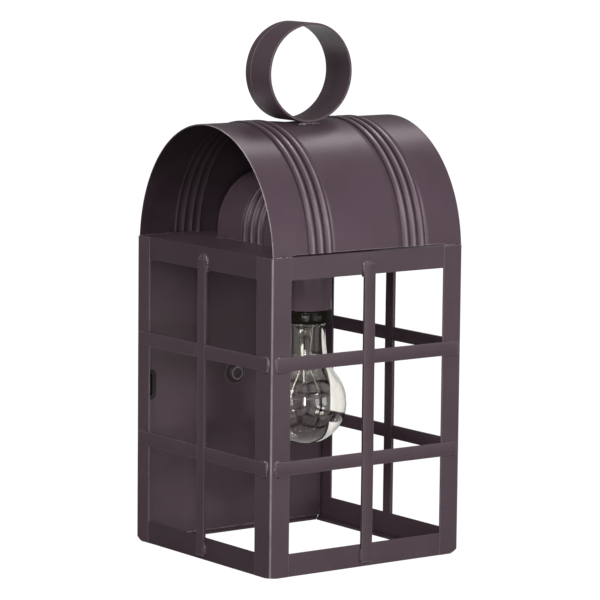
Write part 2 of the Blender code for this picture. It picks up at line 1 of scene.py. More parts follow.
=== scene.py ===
"""Finished look of the wall lantern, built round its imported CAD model.

Lengths are in metres, +Z is up, and the lantern's front faces -Y. Places come from the boxes
of the CAD nodes, so every piece lands where the model says.
"""

import math

import bmesh
import bpy
from mathutils import Matrix, Vector, noise


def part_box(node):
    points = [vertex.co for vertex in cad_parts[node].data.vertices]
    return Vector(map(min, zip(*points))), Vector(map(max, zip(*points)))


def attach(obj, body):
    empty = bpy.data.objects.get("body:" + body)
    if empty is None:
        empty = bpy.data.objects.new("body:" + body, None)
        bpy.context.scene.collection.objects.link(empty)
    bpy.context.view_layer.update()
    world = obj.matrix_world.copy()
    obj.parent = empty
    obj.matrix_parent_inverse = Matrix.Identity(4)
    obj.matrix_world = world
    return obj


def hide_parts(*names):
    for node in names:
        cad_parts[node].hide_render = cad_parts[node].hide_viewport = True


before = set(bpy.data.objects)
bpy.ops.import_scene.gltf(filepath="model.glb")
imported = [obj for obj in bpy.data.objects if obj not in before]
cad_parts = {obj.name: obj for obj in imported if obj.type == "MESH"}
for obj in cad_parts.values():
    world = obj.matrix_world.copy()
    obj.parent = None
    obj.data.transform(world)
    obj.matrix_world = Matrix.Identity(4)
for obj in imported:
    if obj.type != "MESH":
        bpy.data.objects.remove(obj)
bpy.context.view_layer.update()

# Sheet metal
SHEET = 0.0010
POST_BEND = 0.0011
NEAR_POST_BEND = 0.0014
SKIN_INSET = 0.0004
PLATE_INSET = 0.0010
ROOF_SHEET = 0.0009
RING_SHEET = 0.0016
COVER_SHEET = 0.0007

# Pressed beads: a bead dips a little below the sheet just outside its own width
BEAD_RISE = 0.0010
BEAD_VALLEY = 0.0004
BEAD_SKIRT = 1.12
ROOF_BEAD_GROUPS = (-0.0405, 0.0388)
ROOF_BEAD_PITCH = 0.0068
HOOD_BEAD_PITCH = 0.0083
HOOD_BEAD_HALF_WIDTH = 0.0037

# Roof
ROOF_SPRING = 0.2132
ROOF_DENT = 0.0017
ROOF_DENT_REACH = (0.016, 0.020)
ROOF_FOOT_LIFT = 0.0014
ROOF_FOOT_OPEN = 0.0690
ROOF_FOOT_FADE = 0.0060
# Heights inside the roof where its painted shade starts and where it is full
INSIDE_SHADE_FROM = 0.235
INSIDE_SHADE_FULL = 0.285

# Ring
RING_FLATTENING = 0.972
RING_FLARE = 0.0007
RING_HEM = 0.0062
RING_HEM_GROOVE = 0.00035

# Bars, with depths measured outwards from the wall's face
BAR_SOFTNESS = 0.00022
BAR_CUTS = 40
UPRIGHT_BACK = -0.0004
UPRIGHT_EXTRA = 0.0004
CROSS_BACK = -0.0003
RAIL_FACE = -0.0013
POST_FACE = -0.0001

# Turn of each wall about the upright axis, in degrees from the front
SIDE_TURNS = {"front": 0, "right": 90, "rear": 180, "left": 270}

# Solder at a bar's end. Reach is how far it goes back along the bar, to each side and past the end.
# Sunk is how far its top lies under the bar's face, and setback moves it in from the end.
HEAD_SOLDER = {"reach": (0.0085, 0.0016, 0.0042), "sunk": 0.0007, "setback": 0.0040}
FOOT_SOLDER = {"reach": (0.0080, 0.0014, 0.0016), "sunk": 0.0005, "setback": 0.0012}
NEAR_SOLDER = {"reach": (0.0062, 0.0013, 0.0022), "sunk": 0.0002, "setback": 0.0016}
FAR_SOLDER = {"reach": (0.0062, 0.0006, 0.0008), "sunk": 0.0007, "setback": 0.0006}
CRUMPLED_SOLDER = 0.0005

# Bulb and socket
GLASS_WALL = 0.0007
BULB_CENTRE = 0.1044
BULB_RADIUS = 0.0295
BULB_SHOULDER_TURN = 128
BULB_FLARE_TOP = 0.1560
BULB_NECK = 0.0142
BULB_LIP = 0.0128
BULB_TUBE = 0.0121
SOCKET_BORE = 0.0143
SOCKET_BORE_TOP = 0.1960
SOCKET_HOLE = 0.0055
COVER_HOLE = 0.0060
LATHE_STEPS = 96

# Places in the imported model
cage_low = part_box("post_front_left")[0]
cage_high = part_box("post_rear_right")[1]
CAGE_Y = (cage_low.y + cage_high.y) / 2
HALF_WIDTH = (cage_high.x - cage_low.x) / 2
HALF_DEPTH = (cage_high.y - cage_low.y) / 2
PLATE_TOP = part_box("top_plate")[1].z
FRAME_TOP = PLATE_TOP - 0.0002
ROOF_FOOT = PLATE_TOP + 0.0001
lamp_low, lamp_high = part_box("socket_cover")
LAMP_Y = (lamp_low.y + lamp_high.y) / 2
ring_low, ring_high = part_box("ring_handle")
RING_X = (ring_low.x + ring_high.x) / 2
RING_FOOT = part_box("roof")[1].z - 0.0032
upright_low, upright_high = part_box("upright_bar_front")
UPRIGHT_HALF = (upright_high.x - upright_low.x) / 2
UPRIGHT_FOOT = upright_low.z
UPRIGHT_HEAD = upright_high.z
UPRIGHT_FRONT = cage_low.y - upright_low.y
cross_low, cross_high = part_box("cross_bar_front_lower")
CROSS_HALF = (cross_high.z - cross_low.z) / 2
CROSS_FRONT = cage_low.y - cross_low.y

# Studio
STAGE_WHITE = 1.05
WORLD_FILL = 0.20

# Linear paint colours. The edge, fold, cut edge and crest colours are painted highlights; the valley colour
# and the last, darkest colour high inside the roof are painted shade.
DARK_PAINT = (0.072, 0.045, 0.059)
LIGHT_PAINT = (0.084, 0.053, 0.069)
SPECK_PAINT = (0.130, 0.090, 0.112)
EDGE_HIGHLIGHT_PAINT = (0.330, 0.265, 0.298)
FOLD_HIGHLIGHT_PAINT = (0.300, 0.240, 0.270)
CUT_EDGE_HIGHLIGHT_PAINT = (0.620, 0.540, 0.585)
VALLEY_SHADE_PAINT = (0.018, 0.011, 0.015)
CREST_HIGHLIGHT_PAINT = (0.290, 0.228, 0.260)
TOP_SHADE_PAINT = (0.014, 0.009, 0.011)


# ---------------------------------------------------------------- camera, floor and lights


def toward(azimuth, elevation):
    """The unit vector in a direction in degrees: azimuth from -Y towards +X, and elevation."""
    azimuth = math.radians(azimuth)
    elevation = math.radians(elevation)
    flat = math.cos(elevation)
    return Vector((math.sin(azimuth) * flat, -math.cos(azimuth) * flat, math.sin(elevation)))


def add_camera():
    """A long lens, a little above the roof's foot, looking at the front left corner."""
    target = Vector((0.00146, CAGE_Y, 0.17542))
    distance = 2.43456
    away = toward(-36.386, 7.694)
    roll = math.radians(0.598)
    right = Vector((0, 0, 1)).cross(away).normalized()
    up = away.cross(right)
    across = right * math.cos(roll) + up * math.sin(roll)
    upward = up * math.cos(roll) - right * math.sin(roll)
    data = bpy.data.cameras.new("camera")
    data.lens = 208.504
    data.sensor_width = 36
    data.clip_end = 30
    camera = bpy.data.objects.new("camera", data)
    bpy.context.scene.collection.objects.link(camera)
    turned = Matrix((across, upward, away)).transposed()
    camera.matrix_world = Matrix.Translation(target + away * distance) @ turned.to_4x4()
    bpy.context.scene.camera = camera


def node_tree(material):
    """An empty node tree for a material or a world."""
    material.use_nodes = True
    tree = material.node_tree
    tree.nodes.clear()
    return tree


def bounced(tree):
    """1 for rays that light a surface, 0 for those that look straight or through glass."""
    path = tree.nodes.new("ShaderNodeLightPath")
    mirrored = tree.nodes.new("ShaderNodeMath")
    mirrored.operation = "SUBTRACT"
    mirrored.use_clamp = True
    tree.links.new(path.outputs["Is Glossy Ray"], mirrored.inputs[0])
    tree.links.new(path.outputs["Is Transmission Ray"], mirrored.inputs[1])
    either = tree.nodes.new("ShaderNodeMath")
    either.operation = "MAXIMUM"
    tree.links.new(path.outputs["Is Diffuse Ray"], either.inputs[0])
    tree.links.new(mirrored.outputs[0], either.inputs[1])
    return either.outputs[0]


def seen_or_bounced(tree, seen, lit, output):
    """Shows one shader to the eye, and lights the surfaces with the other."""
    seen.inputs["Strength"].default_value = STAGE_WHITE
    mix = tree.nodes.new("ShaderNodeMixShader")
    tree.links.new(bounced(tree), mix.inputs["Fac"])
    tree.links.new(seen.outputs[0], mix.inputs[1])
    tree.links.new(lit.outputs[0], mix.inputs[2])
    tree.links.new(mix.outputs[0], output.inputs["Surface"])


def add_stage(name, bm, place, scale, material_name):
    """A flat piece of the studio, with an empty node tree for its material."""
    mesh = bpy.data.meshes.new(name)
    bm.to_mesh(mesh)
    bm.free()
    sheet = bpy.data.objects.new(name, mesh)
    sheet.location = place
    sheet.scale = scale
    bpy.context.scene.collection.objects.link(sheet)
    material = bpy.data.materials.new(material_name)
    mesh.materials.append(material)
    return node_tree(material)


def add_floor():
    """A pale floor that stays white to the eye and sends back a moderate light."""
    bm = bmesh.new()
    bmesh.ops.create_circle(bm, cap_ends=True, radius=6, segments=64)
    tree = add_stage("floor", bm, (0, 0, -0.0004), (1, 1, 1), "pale_floor")
    paper = tree.nodes.new("ShaderNodeBsdfDiffuse")
    paper.inputs["Color"].default_value = (0.17, 0.17, 0.17, 1)
    glow = tree.nodes.new("ShaderNodeEmission")
    seen_or_bounced(tree, glow, paper, tree.nodes.new("ShaderNodeOutputMaterial"))


def add_card():
    """A white card lying behind the lantern, which shows in the ring and under the roof's edge."""
    bm = bmesh.new()
    bmesh.ops.create_grid(bm, x_segments=1, y_segments=1, size=0.5)
    tree = add_stage("card", bm, (0.25, 0.62, 0.0004), (0.9, 0.5, 1), "white_card")
    glow = tree.nodes.new("ShaderNodeEmission")
    glow.inputs["Strength"].default_value = STAGE_WHITE
    output = tree.nodes.new("ShaderNodeOutputMaterial")
    tree.links.new(glow.outputs[0], output.inputs["Surface"])


def add_world():
    """White surroundings, with less light from them than they show."""
    world = bpy.data.worlds.new("white_studio")
    bpy.context.scene.world = world
    tree = node_tree(world)
    seen = tree.nodes.new("ShaderNodeBackground")
    seen.inputs["Color"].default_value = (1, 1, 1, 1)
    light = tree.nodes.new("ShaderNodeBackground")
    light.inputs["Color"].default_value = (1, 1, 1, 1)
    light.inputs["Strength"].default_value = WORLD_FILL
    seen_or_bounced(tree, seen, light, tree.nodes.new("ShaderNodeOutputWorld"))


def add_area_light(name, direction, distance, size, power):
    """A soft box that faces the lantern's middle from a direction given as in toward()."""
    away = toward(*direction)
    data = bpy.data.lights.new(name, "AREA")
    data.shape = "RECTANGLE"
    data.size, data.size_y = size
    data.energy = power
    light = bpy.data.objects.new(name, data)
    light.location = Vector((0, 0, 0.17)) + away * distance
    light.rotation_mode = "QUATERNION"
    light.rotation_quaternion = away.to_track_quat("Z", "Y")
    bpy.context.scene.collection.objects.link(light)


def add_lights():
    """A tall strip opposite the near corner, a key and two soft boxes, and a small light above."""
    add_area_light("corner_strip_light", (-36, 8), 2.2, (0.16, 1.1), 15)
    add_area_light("front_key_light", (2, 29), 2.2, (0.30, 0.22), 16)
    add_area_light("front_soft_light", (10, 4), 2.2, (1.3, 0.8), 12.5)
    add_area_light("left_soft_light", (-88, 26), 2.2, (1.0, 0.8), 17)
    add_area_light("top_light", (113, 56), 2.0, (0.35, 0.35), 6.5)


# ---------------------------------------------------------------- materials


class Recipe:
    """Short calls for the nodes of one procedural material."""

    def __init__(self, name):
        self.material = bpy.data.materials.new(name)
        self.tree = node_tree(self.material)
        self.shader = self.node("ShaderNodeBsdfPrincipled")
        output = self.node("ShaderNodeOutputMaterial")
        self.tree.links.new(self.shader.outputs[0], output.inputs["Surface"])
        self.place = self.node("ShaderNodeTexCoord").outputs["Object"]

    def node(self, kind, **inputs):
        made = self.tree.nodes.new(kind)
        for key, value in inputs.items():
            self.feed(made.inputs[key.replace("_", " ")], value)
        return made

    def feed(self, socket, value):
        if isinstance(value, bpy.types.NodeSocket):
            self.tree.links.new(value, socket)
        else:
            socket.default_value = value

    def noise(self, scale, detail=3.0, roughness=0.55):
        return self.node(
            "ShaderNodeTexNoise", Vector=self.place, Scale=scale, Detail=detail, Roughness=roughness
        ).outputs["Fac"]

    def ramp(self, value, low, high, start, end):
        """Maps value from low..high to start..end."""
        made = self.node("ShaderNodeMapRange", Value=value)
        for key, number in (("From Min", low), ("From Max", high), ("To Min", start), ("To Max", end)):
            made.inputs[key].default_value = number
        return made.outputs["Result"]

    def blend(self, factor, first, second):
        made = self.node("ShaderNodeMix")
        made.data_type = "RGBA"
        self.feed(made.inputs[0], factor)
        self.feed(made.inputs[6], first)
        self.feed(made.inputs[7], second)
        return made.outputs[2]

    def math(self, operation, first, second=0.0):
        made = self.node("ShaderNodeMath")
        made.operation = operation
        self.feed(made.inputs[0], first)
        self.feed(made.inputs[1], second)
        return made.outputs[0]

    def bump(self, height, distance, strength=1.0, normal=None):
        made = self.node("ShaderNodeBump", Height=height, Distance=distance, Strength=strength)
        if normal is not None:
            self.feed(made.inputs["Normal"], normal)
        return made.outputs["Normal"]

    def edges(self, radius):
        """1 along rounded edges, 0 on flat ground."""
        soft = self.node("ShaderNodeBevel", Radius=radius)
        soft.samples = 6
        true = self.node("ShaderNodeNewGeometry").outputs["Normal"]
        dot = self.node("ShaderNodeVectorMath")
        dot.operation = "DOT_PRODUCT"
        self.feed(dot.inputs[0], soft.outputs[0])
        self.feed(dot.inputs[1], true)
        return self.ramp(dot.outputs["Value"], 0.72, 0.98, 1.0, 0.0)

    def set(self, **inputs):
        for key, value in inputs.items():
            self.feed(self.shader.inputs[key.replace("_", " ")], value)


def opaque(color, light_tone=1.0):
    """A colour with full alpha, made lighter by the tone as painted light or darker as painted shade."""
    return tuple(part * light_tone for part in color) + (1,)


def axis_of(made, axis):
    """The place along one axis of the lantern."""
    return made.node("ShaderNodeSeparateXYZ", Vector=made.place).outputs[axis]


def patches(made, scale, low, high):
    """Soft patches, from low to high, that break up the painted highlights."""
    return made.ramp(made.noise(scale, 3), 0.35, 0.65, low, high)


def clouds(made, scale):
    """Slow clouding from 0 to 1."""
    return made.ramp(made.noise(scale, 4), 0.32, 0.68, 0.0, 1.0)


def paint_ground(made, edge_sheen, light_tone=1.0):
    """Mauve-brown paint: faint clouding, fine specks, and a painted highlight of lighter paint along the
    edges.
    """
    speck = made.ramp(made.noise(620, 2), 0.40, 0.75, 0.0, 0.16)
    ground = made.blend(clouds(made, 26), opaque(DARK_PAINT, light_tone), opaque(LIGHT_PAINT, light_tone))
    ground = made.blend(speck, ground, opaque(SPECK_PAINT))
    # Painted highlight: lighter paint along the rounded edges, in patches, scaled by the edge strength
    edge_highlight = made.math("MULTIPLY", made.edges(0.0011), patches(made, 70, 0.45, 1.0))
    return made.blend(made.math("MULTIPLY", edge_highlight, edge_sheen), ground, opaque(EDGE_HIGHLIGHT_PAINT))


def paint_film(made, ground, rough, specular=0.5):
    """A paint film: fine grain over the slow waves of thin sheet metal."""
    grain = made.bump(made.noise(900, 2), 0.00008, 0.55)
    waves = made.bump(made.noise(21, 2), 0.0016, 0.35, grain)
    made.set(Base_Color=ground, Roughness=rough, Normal=waves)
    made.set(Metallic=0.0, IOR=1.5, Specular_IOR_Level=specular)
    return made.material


def painted_metal(name, edge_sheen, light_tone=1.0):
    """Satin paint on tinplate."""
    made = Recipe(name)
    rough = made.ramp(made.noise(48, 3), 0.30, 0.70, 0.38, 0.46)
    return paint_film(made, paint_ground(made, edge_sheen, light_tone), rough)


def fold_highlight_paint():
    """The paint on the posts, with a painted highlight of lighter paint along the outer folds."""
    made = Recipe("painted_posts_fold_highlight")
    from_x = made.math("SUBTRACT", HALF_WIDTH, made.math("ABSOLUTE", axis_of(made, "X")))
    off_middle = made.math("ABSOLUTE", made.math("SUBTRACT", axis_of(made, "Y"), CAGE_Y))
    from_y = made.math("SUBTRACT", HALF_DEPTH, off_middle)
    # Painted highlight: lighter, glossier paint within about a millimetre of each outer fold
    fold = made.ramp(made.math("MAXIMUM", from_x, from_y), 0.0006, 0.0013, 1.0, 0.0)
    fold = made.math("MULTIPLY", fold, patches(made, 85, 0.60, 1.0))
    ground = made.blend(fold, paint_ground(made, 1.3), opaque(FOLD_HIGHLIGHT_PAINT))
    return paint_film(made, ground, made.ramp(fold, 0.0, 1.0, 0.42, 0.30))


def glossy_paint():
    """The smoother, glossier paint on the turned lamp cover, lighter than the lantern's paint as painted
    light.
    """
    made = Recipe("painted_gloss_lit")
    rough = made.ramp(made.noise(48, 3), 0.30, 0.70, 0.22, 0.28)
    # Painted light: these colours are a lighter copy of the lantern's paint
    ground = made.blend(made.noise(40, 3), (0.128, 0.084, 0.107, 1), (0.150, 0.100, 0.127, 1))
    return paint_film(made, ground, rough, 0.6)


def cut_edge_highlight_paint():
    """The thin paint on cut sheet edges, with a painted highlight that is bright towards the front and dull
    behind.
    """
    made = Recipe("painted_edge_highlight")
    # Painted highlight on the cut edges, fading from the front to the rear
    front = made.ramp(axis_of(made, "Y"), CAGE_Y - 0.030, CAGE_Y + 0.020, 1.0, 0.0)
    front_highlight = made.math("MULTIPLY", front, patches(made, 110, 0.55, 1.0))
    made.set(Base_Color=made.blend(front_highlight, opaque(DARK_PAINT), opaque(CUT_EDGE_HIGHLIGHT_PAINT)))
    made.set(Roughness=made.ramp(front_highlight, 0.0, 1.0, 0.45, 0.28))
    made.set(Normal=made.bump(made.noise(700, 2), 0.0001, 0.5))
    return made.material


def beaded_paint(name, axis, groups, pitch):
    """The paint on beaded sheets, with a painted highlight on the crests and painted shade in the valleys."""
    made = Recipe(name)
    along = axis_of(made, axis)
    wave = 0.0
    for group in groups:
        turns = made.math("DIVIDE", made.math("SUBTRACT", along, group), pitch)
        inside = made.math("LESS_THAN", made.math("ABSOLUTE", turns), 1.5)
        ripple = made.math("COSINE", made.math("MULTIPLY", turns, math.tau))
        wave = made.math("ADD", made.math("MULTIPLY", ripple, inside), wave)
    # Painted highlight on the crests and painted shade in the valleys
    crest_highlight = made.math("MULTIPLY", made.ramp(wave, 0.55, 1.0, 0.0, 1.0), patches(made, 60, 0.55, 1.0))
    valley_shade = made.ramp(wave, -1.0, -0.30, 1.0, 0.0)
    ground = made.blend(valley_shade, paint_ground(made, 1.0), opaque(VALLEY_SHADE_PAINT))
    ground = made.blend(crest_highlight, ground, opaque(CREST_HIGHLIGHT_PAINT))
    made.set(Specular_Tint=(1.0, 0.82, 0.93, 1))
    return paint_film(made, ground, made.ramp(crest_highlight, 0.0, 1.0, 0.40, 0.28))


def shaded_paint():
    """Thin dull paint on the inner side of the roof and the hood, darker as painted shade and darkest towards
    the top.
    """
    made = Recipe("painted_inside_shade")
    cloud = clouds(made, 40)
    # Painted shade: darker paint inside, going darker still towards the roof's top
    ground = made.blend(cloud, (0.046, 0.028, 0.037, 1), (0.066, 0.041, 0.054, 1))
    top_shade = made.ramp(axis_of(made, "Z"), INSIDE_SHADE_FROM, INSIDE_SHADE_FULL, 0.0, 0.8)
    made.set(Base_Color=made.blend(top_shade, ground, opaque(TOP_SHADE_PAINT)))
    made.set(Roughness=made.ramp(cloud, 0.0, 1.0, 0.50, 0.60))
    made.set(Normal=made.bump(made.noise(500, 3), 0.0001, 0.5))
    return made.material


def solder_paint():
    """The same paint over hand-flowed solder, a little glossier and more lumpy."""
    made = Recipe("painted_solder")
    cloud = clouds(made, 160)
    ground = made.blend(cloud, (0.070, 0.044, 0.058, 1), (0.110, 0.076, 0.094, 1))
    # Painted highlight: lighter paint along the solder's rounded edges
    ground = made.blend(made.math("MULTIPLY", made.edges(0.0009), 0.7), ground, opaque(EDGE_HIGHLIGHT_PAINT))
    lumps = made.bump(made.noise(420, 3), 0.0006, 0.8)
    made.set(Base_Color=ground, Normal=lumps, Roughness=made.ramp(cloud, 0, 1, 0.22, 0.32))
    made.set(Metallic=0.0, IOR=1.5, Specular_IOR_Level=0.8)
    return made.material


def black_phenolic():
    """Glossy moulded black."""
    made = Recipe("black_phenolic")
    cloud = made.noise(300, 4)
    ground = made.blend(cloud, (0.0090, 0.0070, 0.0045, 1), (0.014, 0.011, 0.008, 1))
    made.set(Base_Color=ground, Roughness=made.ramp(cloud, 0.3, 0.7, 0.06, 0.14))
    made.set(Normal=made.bump(made.noise(240, 3), 0.0011, 0.7), Specular_IOR_Level=0.16)
    return made.material


def black_rubber():
    """Dull black with a fine grain."""
    made = Recipe("black_rubber")
    cloud = made.noise(500, 4)
    made.set(Base_Color=made.blend(cloud, (0.008, 0.007, 0.008, 1), (0.018, 0.016, 0.017, 1)))
    made.set(Roughness=made.ramp(cloud, 0.3, 0.7, 0.55, 0.72), Normal=made.bump(cloud, 0.0002, 0.5))
    return made.material


def bare_metal(name, dark, light, rough_low, rough_high, grain_scale=700):
    """Turned or drawn metal with fine marks."""
    made = Recipe(name)
    cloud = made.noise(grain_scale, 5, 0.65)
    made.set(Base_Color=made.blend(cloud, (*dark, 1), (*light, 1)), Metallic=1.0)
    made.set(Roughness=made.ramp(cloud, 0.3, 0.7, rough_low, rough_high))
    made.set(Normal=made.bump(cloud, 0.0001, 0.4))
    return made.material


def clear_glass():
    """Thin blown glass, with the faint waves of a moulded bulb."""
    made = Recipe("clear_glass")
    wave = made.noise(34, 1)
    made.set(
        Base_Color=made.blend(wave, (0.950, 0.935, 0.890, 1), (0.975, 0.965, 0.930, 1)),
        Roughness=made.ramp(wave, 0.3, 0.7, 0.0, 0.012),
        Normal=made.bump(wave, 0.0006, 0.25),
    )
    made.set(Transmission_Weight=1.0, IOR=1.47)
    return made.material


def black_glass():
    """The glass ring between the bulb's shell and its tip."""
    made = Recipe("black_glass")
    cloud = made.noise(420, 3)
    made.set(Base_Color=made.blend(cloud, (0.006, 0.006, 0.010, 1), (0.016, 0.014, 0.024, 1)))
    made.set(Roughness=made.ramp(cloud, 0.3, 0.7, 0.05, 0.12))
    return made.material


MATERIALS = {
    # The second number scales each paint's painted edge highlight; a third number makes a lighter copy
    # (painted light) or a darker copy (painted shade)
    "painted_metal": painted_metal("painted_metal", 1.0),
    "painted_rails": painted_metal("painted_rails", 0.12),
    "painted_posts_fold_highlight": fold_highlight_paint(),
    "painted_gloss_lit": glossy_paint(),
    "painted_edge_highlight": cut_edge_highlight_paint(),
    # A lighter copy for the plate is painted light; a darker copy for the left rails is painted shade
    "painted_plate_lit": painted_metal("painted_plate_lit", 0.3, 1.7),
    "painted_side_rails_shaded": painted_metal("painted_side_rails_shaded", 0.12, 0.70),
    "painted_solder": solder_paint(),
    "painted_beads": beaded_paint("painted_beads", "X", ROOF_BEAD_GROUPS, ROOF_BEAD_PITCH),
    "painted_hood": beaded_paint("painted_hood", "Y", (CAGE_Y,), HOOD_BEAD_PITCH),
    "painted_inside_shade": shaded_paint(),
    "black_phenolic": black_phenolic(),
    "black_rubber": black_rubber(),
    "brass": bare_metal("brass", (0.48, 0.31, 0.11), (0.66, 0.46, 0.19), 0.22, 0.38),
    "zinc_steel": bare_metal("zinc_steel", (0.42, 0.42, 0.41), (0.58, 0.58, 0.57), 0.28, 0.42),
    "nickel_plate": bare_metal("nickel_plate", (0.50, 0.47, 0.42), (0.66, 0.63, 0.58), 0.18, 0.30),
    "clear_glass": clear_glass(),
    "black_glass": black_glass(),
    "tungsten": bare_metal("tungsten", (0.16, 0.155, 0.15), (0.28, 0.27, 0.26), 0.35, 0.5, 3000),
}


# ---------------------------------------------------------------- pieces


def add_piece(name, mesh, finish="painted_metal", body="lantern", replaces=()):
    """Puts a finished mesh in the scene on its body.

    Its mesh takes the material of its finish.
    """
    piece = bpy.data.objects.new(name, mesh)
    bpy.context.scene.collection.objects.link(piece)
    mesh.materials.clear()
    mesh.materials.append(MATERIALS[finish])
    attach(piece, body)
    if replaces:
        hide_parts(*replaces)
    return piece


def mesh_from(bm, name, smooth_angle=35):
    """The finished mesh, smooth but for edges sharper than the angle."""
    bmesh.ops.recalc_face_normals(bm, faces=bm.faces)
    mesh = bpy.data.meshes.new(name)
    bm.to_mesh(mesh)
    bm.free()
    mesh.shade_smooth()
    mesh.set_sharp_from_angle(angle=math.radians(smooth_angle))
    return mesh


def soften(piece, width, segments=2, angle=40):
    """Rounds the edges that are sharper than the angle."""
    bevel = piece.modifiers.new("soft_edges", "BEVEL")
    bevel.width = width
    bevel.segments = segments
    bevel.limit_method = "ANGLE"
    bevel.angle_limit = math.radians(angle)
    bevel.harden_normals = True
    return piece


def skin(bm, rings, lids=True):
    """Walls from each ring of vertices to the next, and a lid on each end."""
    count = len(rings[0])
    for low, high in zip(rings, rings[1:]):
        for index in range(count):
            after = (index + 1) % count
            bm.faces.new((low[index], low[after], high[after], high[index]))
    if lids:
        bm.faces.new(rings[0][::-1])
        bm.faces.new(rings[-1])


def prism(name, outline, low_z, high_z, cuts=1):
    """An upright piece with the same outline all the way up, cut into bands that can be bent."""
    bm = bmesh.new()
    rings = []
    for step in range(cuts + 1):
        z = low_z + (high_z - low_z) * step / cuts
        rings.append([bm.verts.new((x, y, z)) for x, y in outline])
    skin(bm, rings)
    return mesh_from(bm, name)


def lathe(name, profile, centre):
    """Turns a profile of (radius, height) about an upright axis through centre.

    A profile that starts and ends off the axis is closed into a loop.
    """
    bm = bmesh.new()
    rings = []
    for radius, height in profile:
        ring = []
        for step in range(LATHE_STEPS if radius > 0 else 1):
            turn = math.tau * step / LATHE_STEPS
            x = centre.x + radius * math.cos(turn)
            y = centre.y + radius * math.sin(turn)
            ring.append(bm.verts.new((x, y, height)))
        rings.append(ring)
    if profile[0][0] > 0 and profile[-1][0] > 0:
        rings.append(rings[0])
    for upper, lower in zip(rings, rings[1:]):
        for step in range(LATHE_STEPS):
            after = (step + 1) % LATHE_STEPS
            corners = []
            for ring, index in ((upper, step), (upper, after), (lower, after), (lower, step)):
                vert = ring[index % len(ring)]
                if vert not in corners:
                    corners.append(vert)
            if len(corners) > 2:
                bm.faces.new(corners)
    return mesh_from(bm, name)


def round_corner(centre, radius, start_turn, steps):
    """Points of a quarter circle about its centre, from a turn in degrees."""
    points = []
    for step in range(steps + 1):
        turn = math.radians(start_turn + 90 * step / steps)
        points.append((centre[0] + radius * math.cos(turn), centre[1] + radius * math.sin(turn)))
    return points


# ---------------------------------------------------------------- cage


WORN_CORNERS = {
    ("left", "front"): 0.0010,
    ("right", "front"): 0.0036,
    ("left", "rear"): 0.0034,
    ("right", "rear"): 0.0030,
}
WORN_REACH = 0.0065
WORN_HEIGHT = 0.0060


def worn_corner(x, y, z):
    """How far the frame's underside is rounded up at its corners."""
    if z > WORN_HEIGHT:
        return 0.0
    corner = ("left" if x < 0 else "right", "front" if y < CAGE_Y else "rear")
    away = (HALF_WIDTH - abs(x)) + (HALF_DEPTH - abs(y - CAGE_Y))
    return WORN_CORNERS[corner] * max(0.0, 1 - away / WORN_REACH) ** 1.6


def post_section(face, side, fold):
    """Outline of an angle post from its side flange round the bend to its front flange.

    Points close to the bend keep its shading off the flat flanges.
    """
    near = (fold + 0.0002, 0.0032, 0.0045, 0.0060, 0.0080)
    bend = round_corner((fold, fold), fold, 180, 8)
    inside = round_corner((fold, fold), fold - SHEET, 180, 4)[::-1]
    outline = [(0, side)] + [(0, place) for place in near[::-1]] + bend
    outline += [(place, 0) for place in near] + [(face, 0), (face, SHEET)]
    outline += [(place, SHEET) for place in near[::-1]] + inside
    outline += [(SHEET, place) for place in near] + [(SHEET, side)]
    return outline


def build_posts():
    """Folded angle posts with a true bend radius and eased cut edges."""
    for row, sign_y in (("front", -1), ("rear", 1)):
        for hand, sign_x in (("left", -1), ("right", 1)):
            node = f"post_{row}_{hand}"
            low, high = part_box(node)
            outer_x = low.x if sign_x < 0 else high.x
            outer_y = low.y if sign_y < 0 else high.y
            fold = NEAR_POST_BEND if node == "post_front_left" else POST_BEND
            outline = []
            for x, y in post_section(high.x - low.x, high.y - low.y, fold):
                outline.append((outer_x - sign_x * x, outer_y - sign_y * y))
            mesh = prism(node, outline, low.z, FRAME_TOP, 24)
            for vert in mesh.vertices:
                vert.co.z += worn_corner(*vert.co)
            post = add_piece(f"{row}_{hand}_post", mesh, "painted_posts_fold_highlight", replaces=[node])
            soften(post, 0.0003)


def rail_section(level, low_z, high_z, flange):
    """Outline of an angle rail as (depth, height): the wall, then the flange that points inwards."""
    edge_z, far_z = (high_z, low_z) if level == "top" else (low_z, high_z)
    inner_z = high_z - SHEET if level == "top" else low_z + SHEET
    return [(0, edge_z), (0, far_z), (SHEET, far_z), (SHEET, inner_z), (flange, inner_z), (flange, edge_z)]


def rail_places(edge):
    """Places along a rail from one end to the other, closer together near the ends."""
    marks = [edge - place for place in (0, 0.0014, 0.0028, 0.0042, 0.0058, 0.0080)]
    marks += [edge * step / 12 for step in range(11, -1, -1)]
    return sorted({round(mark, 6) for mark in marks} | {round(-mark, 6) for mark in marks})


def rail_mesh(name, section, half_span, reach, turn):
    """An angle rail with its skin nearly flush with the posts, its ends running under them."""
    wall = reach - SKIN_INSET
    edge = half_span - SKIN_INSET - 0.0003
    spin = Matrix.Translation((0, CAGE_Y, 0)) @ Matrix.Rotation(math.radians(turn), 4, "Z")
    bm = bmesh.new()
    rings = []
    for place in rail_places(edge):
        ring = []
        for depth, z in section:
            along = math.copysign(min(abs(place), edge - depth), place)
            wave = noise.noise(Vector((place * 22, turn * 0.1, z * 9))) * 0.00018
            spot = spin @ Vector((along, -wall + depth + wave, z))
            spot.z += worn_corner(*spot)
            ring.append(bm.verts.new(spot))
        rings.append(ring)
    skin(bm, rings)
    bmesh.ops.remove_doubles(bm, verts=bm.verts, dist=0.000001)
    return mesh_from(bm, name)


